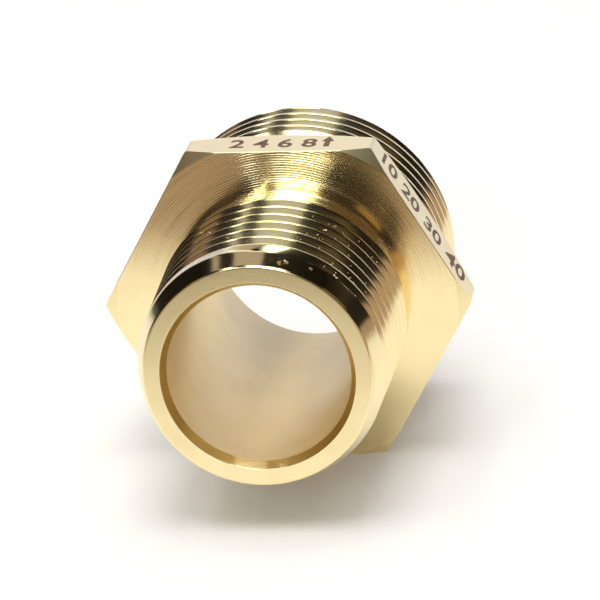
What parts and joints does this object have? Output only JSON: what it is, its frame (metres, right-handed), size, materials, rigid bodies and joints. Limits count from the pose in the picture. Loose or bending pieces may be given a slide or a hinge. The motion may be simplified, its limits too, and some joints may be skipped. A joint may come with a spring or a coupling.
{
  "type": "hex nipple",
  "caption": "Brass hex nipple: a wrench hexagon between a smaller and a larger male pipe thread, with a stepped bore right through.",
  "frame": {"origin": "on the bore's axis, half way through the hexagon", "axes": "+Y along the bore from the small end to the large end, +Z square to one pair of hexagon flats, X across the hexagon's corners"},
  "size_m": [0.0324, 0.0358, 0.028],
  "materials": {
    "brass": "machined, semi-gloss"
  },
  "bodies": {
    "root": {"hex_collar": "brass", "small_threaded_end": "brass", "large_threaded_end": "brass"}
  },
  "joints": []
}
